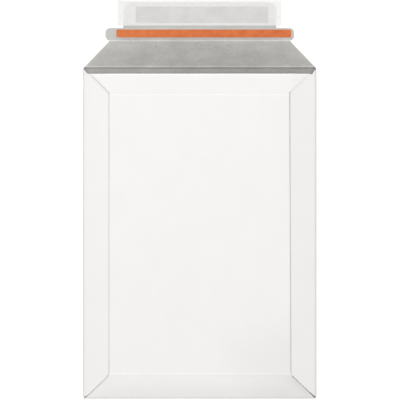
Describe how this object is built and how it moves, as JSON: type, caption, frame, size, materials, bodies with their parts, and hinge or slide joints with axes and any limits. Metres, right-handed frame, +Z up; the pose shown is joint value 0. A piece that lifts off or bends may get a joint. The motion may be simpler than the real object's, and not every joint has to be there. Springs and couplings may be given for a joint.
{
  "type": "cardboard envelope",
  "caption": "Flat mailing envelope of folded solid board, its closing flap open, with a tear tape and an adhesive strip under a release liner.",
  "frame": {"origin": "centre of the address face, the plain outer face of the back panel that it lies on", "axes": "+Z up out of the address face, +Y from the bottom fold to the closing flap, +X across the panel"},
  "size_m": [0.234, 0.4012, 0.0069],
  "materials": {
    "coated_board": "white clay-coated outside, grey recycled inside, matte",
    "flap_board": "grey recycled inside face showing, matte",
    "tear_tape": "orange film, semi-gloss",
    "adhesive": "clear hot-melt film on board",
    "release_paper": "silicone-coated glassine paper, slight sheen"
  },
  "bodies": {
    "pocket": {"pocket_board": "coated_board"},
    "flap": {"closure_flap": "flap_board", "tear_tape": "tear_tape", "adhesive_strip": "adhesive", "release_liner": "release_paper"}
  },
  "joints": [
    {"name": "flap_fold", "type": "hinge", "parent": "pocket", "child": "flap", "pos_m": [0, 0.16425, 0.00413], "axis": [1, 0, 0], "range_deg": [0, 179]}
  ]
}
